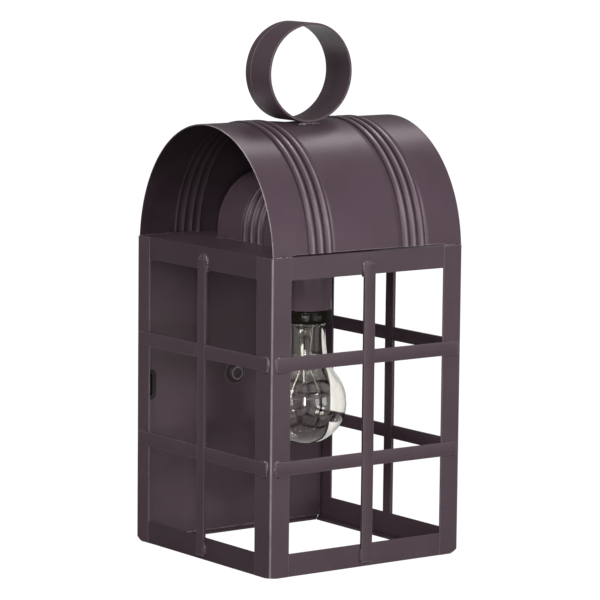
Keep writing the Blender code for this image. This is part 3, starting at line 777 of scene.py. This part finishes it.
def build_rails():
    """The rails between the posts; the top ones reach up round the plate's edge."""
    for side, turn in SIDE_TURNS.items():
        across = side in ("front", "rear")
        half_span = HALF_WIDTH if across else HALF_DEPTH
        reach = HALF_DEPTH if across else HALF_WIDTH
        # The left rails take a darker copy of the rail paint, a painted shade
        finish = "painted_side_rails_shaded" if side == "left" else "painted_rails"
        for level in ("top", "bottom"):
            node = f"{level}_rail_{side}"
            low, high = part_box(node)
            flange = (high.y - low.y) if across else (high.x - low.x)
            head = FRAME_TOP if level == "top" else high.z
            section = rail_section(level, low.z, head, flange)
            mesh = rail_mesh(node, section, half_span, reach, turn)
            soften(add_piece(f"{side}_{level}_rail", mesh, finish, replaces=[node]), 0.00025)


def bar_frame(side):
    """Local axes of one wall: across to the right as seen from outside, up, and outwards."""
    turn = math.radians(SIDE_TURNS[side])
    outward = Vector((math.sin(turn), -math.cos(turn), 0))
    across = Vector((math.cos(turn), math.sin(turn), 0))
    reach = HALF_DEPTH if side == "front" else HALF_WIDTH
    origin = Vector((0, CAGE_Y, 0)) + outward * reach
    columns = Matrix((across, Vector((0, 0, 1)), outward)).transposed()
    return Matrix.Translation(origin) @ columns.to_4x4()


def bar_section(half, back, front):
    """Outline of a flat bar as (across, outwards), its corners a little round."""
    radius = min(BAR_SOFTNESS, (front - back) / 2.5)
    section = []
    for sign_x, z, turn in ((1, front - radius, 0), (-1, front - radius, 90),
                            (-1, back + radius, 180), (1, back + radius, 270)):
        section += round_corner((sign_x * (half - radius), z), radius, turn, 3)
    return section


def bar_mesh(name, start, end, section, place, upright, seed):
    """A flat bar that wanders a few tenths of a millimetre, as a hand-soldered one does."""
    bm = bmesh.new()
    rings = []
    for step in range(BAR_CUTS + 1):
        along = start + (end - start) * step / BAR_CUTS
        drift = noise.noise(Vector((along * 14, seed * 3.7, 0.4))) * 0.00022
        lift = noise.noise(Vector((along * 19, seed * 1.3, 7.1))) * 0.00012
        ring = []
        for x, z in section:
            corner = (x + drift, along, z + lift) if upright else (along, x + drift, z + lift)
            ring.append(bm.verts.new(place @ Vector(corner)))
        rings.append(ring)
    skin(bm, rings)
    return mesh_from(bm, name, 25)


def mound_outline(bar_half, half, back, tip, shoulder):
    """One level of a solder mound: along the bar's side, round its end, and back on the other side."""
    side_steps = 7
    arc_steps = 18
    side = []
    for step in range(side_steps):
        y = -back + (shoulder + back) * step / side_steps
        fade = min(1.0, 0.35 + (y + back) / back)
        side.append((bar_half + (half - bar_half) * fade, y))
    arc = []
    for step in range(arc_steps + 1):
        turn = math.pi * step / arc_steps
        cosine = math.copysign(abs(math.cos(turn)) ** 0.72, math.cos(turn))
        sine = abs(math.sin(turn)) ** 0.80
        arc.append((half * cosine, shoulder + (tip - shoulder) * sine))
    return side + arc + [(-x, y) for x, y in side[::-1]]


def solder_mound(name, place, bar_half, reach, base, top, seed, rough=0.0):
    """Solder flowed round the end of a bar, uneven all over and crumpled where it is rough.

    Locally Y runs along the bar, past its end at 0, and Z runs outwards from base to top. Reach is
    how far the mound goes back along the bar, to each side and past the end.
    """
    back, side, past = reach
    bm = bmesh.new()
    levels = 8
    rings = []
    for level in range(levels + 1):
        t = level / levels
        spread = math.cos(t * math.pi / 2) ** 0.85
        height = base + (top - base) * math.sin(t * math.pi / 2)
        half = bar_half + 0.0001 + side * spread
        shoulder = -half * 0.30
        ring = []
        for x, y in mound_outline(bar_half, half, back, 0.0002 + past * spread, shoulder):
            spot = Vector((x * 380, y * 380, seed * 5.3))
            push = noise.noise(spot) * (0.00030 + rough) * spread
            uneven = noise.noise(spot * 1.7 + Vector((3, 1, 9)))
            swell = uneven * (0.00014 + rough * 0.8) * math.sin(t * 3.0)
            direction = Vector((x, y - shoulder, 0)).normalized()
            ring.append(bm.verts.new(Vector((x, y, height + swell)) + direction * push))
        rings.append(ring)
    skin(bm, rings)
    bmesh.ops.transform(bm, matrix=place, verts=bm.verts)
    return add_piece(name, mesh_from(bm, name, 60), "painted_solder")


def end_place(side, x, y, turn):
    """Local axes of a bar end on a wall: the bar points along +Y turned by turn degrees."""
    spin = Matrix.Rotation(math.radians(turn), 4, "Z")
    return bar_frame(side) @ Matrix.Translation((x, y, 0)) @ spin


def add_upright(side, seed):
    """One upright bar, with solder over its head on the top rail and round its foot."""
    node = f"upright_bar_{side}"
    half = UPRIGHT_HALF + UPRIGHT_EXTRA
    section = bar_section(half, UPRIGHT_BACK, UPRIGHT_FRONT)
    head = UPRIGHT_HEAD - 0.0035
    mesh = bar_mesh(node, UPRIGHT_FOOT, head, section, bar_frame(side), True, seed)
    add_piece(f"{side}_upright", mesh, replaces=[node])
    for end, solder, height, turn, part in (
        ("head", HEAD_SOLDER, UPRIGHT_HEAD - HEAD_SOLDER["setback"], 0, 0.3),
        ("foot", FOOT_SOLDER, UPRIGHT_FOOT + FOOT_SOLDER["setback"], 180, 0.6),
    ):
        place = end_place(side, 0, height, turn)
        top = UPRIGHT_FRONT - solder["sunk"]
        solder_mound(f"solder_{end}_{side}", place, half, solder["reach"], RAIL_FACE, top, seed + part)


def add_cross(side, level, seed):
    """One cross bar, its ends soldered on the posts, with most solder at the near corner."""
    node = f"cross_bar_{side}_{level}"
    low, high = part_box(node)
    height = (low.z + high.z) / 2
    half_span = (high.x - low.x) / 2 if side == "front" else (high.y - low.y) / 2
    section = bar_section(CROSS_HALF, CROSS_BACK, CROSS_FRONT)
    mesh = bar_mesh(node, -half_span, half_span, section, bar_frame(side), False, seed)
    piece = add_piece(f"{side}_cross_{level}", mesh, replaces=[node])
    piece.data.transform(Matrix.Translation((0, 0, height)))
    for hand, sign, turn in (("left", -1, 90), ("right", 1, 270)):
        near = (side, hand) in (("front", "left"), ("left", "right"))
        solder = NEAR_SOLDER if near else FAR_SOLDER
        place = end_place(side, sign * (half_span - solder["setback"]), height, turn)
        top = CROSS_FRONT - solder["sunk"]
        rough = CRUMPLED_SOLDER if near and level == "lower" else 0.0
        name = f"solder_{side}_{level}_{hand}"
        solder_mound(name, place, CROSS_HALF, solder["reach"], POST_FACE, top, seed + sign * 0.4, rough)


def build_bars():
    """Three uprights and six cross bars, each with its own seed for its small unevenness."""
    for row, side in enumerate(("front", "right", "left")):
        seed = 1 + 3 * row
        add_upright(side, seed)
        add_cross(side, "lower", seed + 1)
        add_cross(side, "upper", seed + 2)


def build_top_plate():
    """The plate on the cage, its edges dressed down onto the frame so that no gap shows."""
    low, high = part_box("top_plate")
    left, right = low.x + PLATE_INSET, high.x - PLATE_INSET
    front, rear = low.y + PLATE_INSET, high.y - PLATE_INSET
    corners = [(left, front), (right, front), (right, rear), (left, rear)]
    mesh = prism("plate_on_cage", corners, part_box("post_front_left")[1].z, high.z)
    # The plate takes a lighter copy of the paint, painted light on its top
    soften(add_piece("plate_on_cage", mesh, "painted_plate_lit", replaces=["top_plate"]), 0.0005, 4)


def seam(name, points, width, rise, seed):
    """A run of solder along a line: a low ridge with tapered ends and an uneven crest."""
    bm = bmesh.new()
    steps = 6 * (len(points) - 1)
    rings = []
    up = Vector((0, -0.4, 1)).normalized()
    for step in range(steps + 1):
        t = step / steps * (len(points) - 1)
        index = min(int(t), len(points) - 2)
        start, end = points[index : index + 2]
        spot = start.lerp(end, t - index)
        side = (end - start).cross(up).normalized()
        taper = max(0.06, math.sin(math.pi * step / steps)) ** 0.5
        uneven = 1 + 0.45 * noise.noise(Vector((spot.x * 330 + seed, spot.y * 330, spot.z * 330)))
        ring = []
        for turn in (0, 36, 72, 108, 144, 180, 240, 300):
            turn = math.radians(turn)
            flat = 0.25 if math.sin(turn) < 0 else 1.0
            offset = side * (width / 2 * taper * uneven * math.cos(turn))
            offset += up * (rise * taper * uneven * flat * math.sin(turn))
            ring.append(bm.verts.new(spot + offset))
        rings.append(ring)
    skin(bm, rings)
    return add_piece(name, mesh_from(bm, name, 70), "painted_solder")


def line_between(start, end, seed):
    """Points from start to end that stray a little from the straight line."""
    bends = 12
    points = []
    for step in range(bends + 1):
        stray = [noise.noise(Vector((step * 1.7, seed, 3.3 + 11.9 * axis))) for axis in range(3)]
        points.append(start.lerp(end, step / bends) + Vector(stray) * 0.0002)
    return points


def build_seams():
    """Solder runs where the roof, the hood, the plates and the ring meet."""
    front = CAGE_Y - HALF_DEPTH
    rear = CAGE_Y + HALF_DEPTH - 0.0022
    foot = PLATE_TOP + 0.0002
    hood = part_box("vent_hood")[0].x
    ring = ring_low.y - 0.0004
    runs = (
        ("roof_front_left", (-0.0800, front + 0.0003), (-0.0640, front), foot, 0.0018, 0.0012),
        ("roof_front_right", (0.0650, front + 0.0002), (0.0802, front + 0.0004), foot, 0.0018, 0.0012),
        ("roof_rear_left", (-0.0790, rear), (-0.0300, rear), foot, 0.0016, 0.0008),
        ("hood_rear", (hood, 0.0430), (hood - 0.0002, 0.0325), foot, 0.0022, 0.0011),
        ("ring_front", (RING_X - 0.0105, ring), (RING_X + 0.0085, ring), RING_FOOT, 0.0020, 0.0012),
        ("back_plate_foot", (-0.0770, 0.0778), (0.0770, 0.0778), 0.0016, 0.0020, 0.0009),
    )
    for number, (name, start, end, height, width, rise) in enumerate(runs):
        points = line_between(Vector((*start, height)), Vector((*end, height)), number * 3.1)
        seam(f"seam_{name}", points, width, rise, number * 7.0)


# ---------------------------------------------------------------- roof, hood and ring


def bead_rise(position, beads):
    """Height of the pressed beads at a place along the sheet: round ridges with sharp valleys."""
    centres, half_width = beads
    for centre in centres:
        off = abs(position - centre) / half_width
        if off < 1:
            return (BEAD_RISE + BEAD_VALLEY) * (1 - off**2) ** 0.8 - BEAD_VALLEY
        if off < BEAD_SKIRT:
            return -BEAD_VALLEY * (BEAD_SKIRT - off) / (BEAD_SKIRT - 1)
    return 0.0


def sample_along(length, beads):
    """Places along the sheet, close together across the beads."""
    centres, half_width = beads
    places = {-length / 2, length / 2}
    steps = 12
    for centre in centres:
        for step in range(-steps, steps + 1):
            places.add(round(centre + half_width * math.sin(step / steps * math.pi / 2), 7))
        places.update((centre - BEAD_SKIRT * half_width, centre + BEAD_SKIRT * half_width))
    plain = 40
    for step in range(1, plain):
        place = -length / 2 + length * step / plain
        if all(abs(place - centre) > 1.2 * half_width for centre in centres):
            places.add(place)
    ordered = sorted(places)
    kept = ordered[:1]
    for place in ordered[1:]:
        if place - kept[-1] > 0.00004:
            kept.append(place)
    return kept


def half_arch(along, side, away, stretch, spring, bottom, dent):
    """Points (across, height) of one half of the arch, from its foot to its top."""
    foot_steps = 3
    arc_steps = 48
    start = math.asin(max(0.0, bottom - spring) / (away * stretch))
    points = []
    if spring > bottom:
        points = [(away, bottom + (spring - bottom) * step / foot_steps) for step in range(foot_steps)]
    for step in range(arc_steps + 1):
        turn = start + (math.pi / 2 - start) * step / arc_steps
        reach = away + dent(along, turn if side < 0 else math.pi - turn)
        points.append((reach * math.cos(turn), spring + reach * stretch * math.sin(turn)))
    return [(side * y, z) for y, z in points]


def no_dent(along, turn):
    """For a sheet that is not pushed in anywhere."""
    return 0.0


def level_foot(along, side):
    """For a sheet that stands on the plate all along."""
    return ROOF_FOOT


def arch_mesh(name, length, radius, spring, apex, beads, place, foot=level_foot, dent=no_dent):
    """An arched sheet along local X with its beads, as an open surface.

    The arch is half an ellipse that starts at the foot, or stands on upright feet if the spring is
    higher. Foot gives the height of the foot at a place along, on the side -1 or 1, and dent gives
    how far the sheet is pushed out at a place along and a turn about X.
    """
    bm = bmesh.new()
    stretch = (apex - spring) / radius
    rows = []
    for along in sample_along(length, beads):
        away = radius + bead_rise(along, beads)
        halves = []
        for side in (-1, 1):
            halves.append(half_arch(along, side, away, stretch, spring, foot(along, side), dent))
        line = halves[0] + halves[1][-2::-1]
        rows.append([bm.verts.new(place @ Vector((along, y, z))) for y, z in line])
    for low, high in zip(rows, rows[1:]):
        for index in range(len(low) - 1):
            bm.faces.new((low[index], high[index], high[index + 1], low[index + 1]))
    return mesh_from(bm, name, 60)


def thicken(piece):
    """Gives the sheet its thickness inwards, with darker paint inside as painted shade and a cut edge with a
    painted highlight.
    """
    piece.data.materials.append(MATERIALS["painted_inside_shade"])
    piece.data.materials.append(MATERIALS["painted_edge_highlight"])
    solid = piece.modifiers.new("sheet", "SOLIDIFY")
    solid.thickness = ROOF_SHEET
    solid.offset = -1
    solid.use_even_offset = True
    # The inner faces take the painted shade and the cut edges the painted highlight
    solid.material_offset = 1
    solid.material_offset_rim = 2
    soften(piece, 0.00022, 2, 50)


def roof_dent(along, turn):
    """The roof is pressed in where the ring stands on it, and waves a little from hand rolling."""
    across = math.cos(turn) * HALF_DEPTH
    reach_x, reach_y = ROOF_DENT_REACH
    pressed = ROOF_DENT * math.exp(-(((along - RING_X) / reach_x) ** 2) - (across / reach_y) ** 2)
    wave = noise.noise(Vector((along * 16, turn * 1.4, 2.2))) * 0.00030 * math.sin(turn)
    return wave - 0.00020 * math.sin(turn) - pressed


def roof_foot(along, side):
    """The roof's front foot stands a little off the plate between its soldered ends."""
    if side > 0:
        return ROOF_FOOT
    open_part = min(1.0, max(0.0, (ROOF_FOOT_OPEN - abs(along)) / ROOF_FOOT_FADE))
    return ROOF_FOOT + ROOF_FOOT_LIFT * open_part


def build_roof():
    """The roof, open at both ends, with two groups of three beads across it."""
    low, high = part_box("roof")
    apex = high.z - BEAD_RISE
    start = math.asin((low.z - ROOF_SPRING) / (apex - ROOF_SPRING))
    radius = (high.y - low.y) / 2 / math.cos(start) - BEAD_RISE
    place = Matrix.Translation((0, (low.y + high.y) / 2, 0))
    centres = [group + step * ROOF_BEAD_PITCH for group in ROOF_BEAD_GROUPS for step in (-1, 0, 1)]
    beads = (centres, ROOF_BEAD_PITCH / 2)
    mesh = arch_mesh(
        "roof_sheet", high.x - low.x, radius, ROOF_SPRING, apex, beads, place, roof_foot, roof_dent
    )
    thicken(add_piece("roof_sheet", mesh, "painted_beads", replaces=["roof"]))


def build_hood():
    """The small arched sheet under the roof, lying the other way, with three beads."""
    low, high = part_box("vent_hood")
    radius = (high.x - low.x) / 2 - BEAD_RISE
    apex = high.z - BEAD_RISE
    turned = Matrix.Rotation(math.radians(90), 4, "Z")
    place = Matrix.Translation((0, (low.y + high.y) / 2, 0)) @ turned
    beads = ([step * HOOD_BEAD_PITCH for step in (-1, 0, 1)], HOOD_BEAD_HALF_WIDTH)
    mesh = arch_mesh("hood_sheet", high.y - low.y, radius, apex - radius, apex, beads, place)
    thicken(add_piece("hood_sheet", mesh, "painted_hood", replaces=["vent_hood"]))


def build_ring():
    """A hemmed strip rolled into a ring, a little flattened, soldered to the roof's top."""
    low, high = ring_low, ring_high
    radius = (high.x - low.x) / 2
    middle = (low + high) / 2
    half = (high.y - low.y) / 2 + RING_FLARE
    hem = half - RING_HEM
    section = [(-half, 0.0), (hem - RING_HEM_GROOVE, 0.0), (hem, -RING_HEM_GROOVE)]
    section += [(hem + RING_HEM_GROOVE, 0.0), (half, 0.0), (half, -RING_SHEET), (-half, -RING_SHEET)]
    bm = bmesh.new()
    steps = 144
    rings = []
    for step in range(steps):
        turn = math.tau * step / steps
        wander = noise.noise(Vector((math.cos(turn), math.sin(turn), 4.0))) * 0.0002
        ring = []
        for y, rise in section:
            away = radius + rise - 0.0002 + wander
            spot = Vector((away * math.cos(turn), y, away * math.sin(turn) * RING_FLATTENING))
            ring.append(bm.verts.new(spot + middle))
        rings.append(ring)
    skin(bm, rings + rings[:1], lids=False)
    soften(add_piece("ring_strip", mesh_from(bm, "ring_strip"), replaces=["ring_handle"]), 0.00028, 2, 50)


# ---------------------------------------------------------------- lamp


def bulb_line(radius, neck, neck_top):
    """Outer or inner line of the pear-shaped glass: a round bulb, a smooth flare, then the neck."""
    points = []
    last_turn = math.radians(BULB_SHOULDER_TURN)
    steps = 34
    for step in range(steps + 1):
        turn = last_turn * step / steps
        points.append((radius * math.sin(turn), BULB_CENTRE - radius * math.cos(turn)))
    shoulder_radius, shoulder = points[-1]
    slope_start = -math.tan(last_turn - math.pi / 2)
    rise = BULB_FLARE_TOP - shoulder
    flare_steps = 16
    for step in range(1, flare_steps + 1):
        t = step / flare_steps
        from_shoulder = 2 * t**3 - 3 * t**2 + 1
        from_slope = t**3 - 2 * t**2 + t
        from_neck = -2 * t**3 + 3 * t**2
        wide = from_shoulder * shoulder_radius + from_slope * slope_start * rise + from_neck * neck
        points.append((wide, shoulder + rise * t))
    points.append((neck, neck_top))
    return points


def build_bulb():
    """The glass with its wall, from the round end up into the screw base."""
    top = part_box("bulb_glass")[1].z
    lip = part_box("bulb_base")[0].z - 0.0003
    outer = bulb_line(BULB_RADIUS, BULB_NECK, lip - 0.0012)
    outer += [(BULB_LIP, lip), (BULB_TUBE, lip + 0.0001), (BULB_TUBE, top)]
    inner = bulb_line(BULB_RADIUS - GLASS_WALL, BULB_NECK - GLASS_WALL, lip - 0.0014)
    inner += [(BULB_TUBE - GLASS_WALL, lip), (BULB_TUBE - GLASS_WALL, top)]
    mesh = lathe("bulb_envelope", inner + outer[::-1], Vector((0, LAMP_Y, 0)))
    add_piece("bulb_envelope", mesh, "clear_glass", "bulb", replaces=["bulb_glass"])


def build_lamp_cover():
    """The turned tube that hides the socket, closed above but for the nipple's hole."""
    radius = (lamp_high.x - lamp_low.x) / 2
    inner = radius - COVER_SHEET
    foot = lamp_low.z
    top = lamp_high.z + 0.0002
    profile = [(COVER_HOLE, top), (radius - 0.0010, top)]
    profile += [(radius - 0.0003, top - 0.0003), (radius, top - 0.0010)]
    profile += [(radius, foot + 0.0003), (radius - 0.0002, foot), (inner, foot)]
    profile += [(inner, top - COVER_SHEET), (COVER_HOLE, top - COVER_SHEET)]
    mesh = lathe("lamp_cover", profile, Vector((0, LAMP_Y, 0)))
    add_piece("lamp_cover", mesh, "painted_gloss_lit", replaces=["socket_cover"])


def build_socket():
    """The black socket: a body inside the cover, and a stepped rim with a round shoulder below it."""
    low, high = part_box("socket_body")
    rim = (high.x - low.x) / 2
    rim_top = lamp_low.z - 0.0002
    body = rim - 0.0016
    shoulder = 0.0012
    profile = [(SOCKET_HOLE, high.z), (body - 0.0015, high.z), (body, high.z - 0.0015), (body, rim_top)]
    for step in range(7):
        turn = math.radians(90 - 15 * step)
        away = rim - shoulder + shoulder * math.cos(turn)
        profile.append((away, rim_top - shoulder + shoulder * math.sin(turn)))
    profile += [(rim - 0.0003, rim_top - 0.0045), (rim, rim_top - 0.0058), (rim, low.z + 0.0012)]
    profile += [(rim - 0.0004, low.z + 0.0003), (rim - 0.0012, low.z), (SOCKET_BORE + 0.0008, low.z)]
    profile += [(SOCKET_BORE, low.z + 0.0008), (SOCKET_BORE, SOCKET_BORE_TOP), (SOCKET_HOLE, SOCKET_BORE_TOP)]
    mesh = lathe("lamp_socket", profile, Vector((0, LAMP_Y, 0)))
    add_piece("lamp_socket", mesh, "black_phenolic", replaces=["socket_body"])


def build_cap():
    """The low round cap over the fixing nipple, in the middle of the back plate."""
    low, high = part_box("cap_nut")
    centre = (low + high) / 2
    radius = (high.x - low.x) / 2
    profile = [(0.0, 0.0034)]
    for step in range(1, 9):
        turn = math.radians(11.25 * step)
        profile.append((radius * math.sin(turn), 0.0012 + 0.0022 * math.cos(turn)))
    profile += [(radius, 0.0), (radius - 0.0006, 0.0), (0.0, 0.0)]
    mesh = lathe("fixing_cap", profile, Vector((0, 0, 0)))
    facing_front = Matrix.Rotation(math.radians(90), 4, "X")
    mesh.transform(Matrix.Translation((centre.x, high.y, centre.z)) @ facing_front)
    # The cap takes the darker inside paint, a painted shade
    add_piece("fixing_cap", mesh, "painted_inside_shade", replaces=["cap_nut"])


def dress_cad_nodes():
    """Gives every CAD node that still shows its procedural material."""
    plain = {
        "black_rubber": ["wire_bushing"],
        "brass": ["socket_shell", "socket_contact"],
        "zinc_steel": [
            "socket_nipple", "lock_nut_upper", "lock_nut_lower", "mounting_nipple",
            "mounting_lock_nut", "bulb_base", "bulb_tip_contact",
        ],
        "nickel_plate": ["bulb_lead_left", "bulb_lead_right"],
        "clear_glass": ["bulb_stem"],
        "black_glass": ["bulb_insulator"],
        "tungsten": ["bulb_filament"],
    }
    finish_of = {node: finish for finish, nodes in plain.items() for node in nodes}
    for name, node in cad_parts.items():
        material = MATERIALS[finish_of.get(name, "painted_metal")]
        for slot in node.material_slots:
            slot.material = material


bpy.context.scene.view_settings.view_transform = "Standard"
add_camera()
add_floor()
add_world()
add_lights()
dress_cad_nodes()
add_card()
build_posts()
build_rails()
build_bars()
build_top_plate()
build_seams()
build_lamp_cover()
build_socket()
build_cap()
build_roof()
build_hood()
build_ring()
build_bulb()
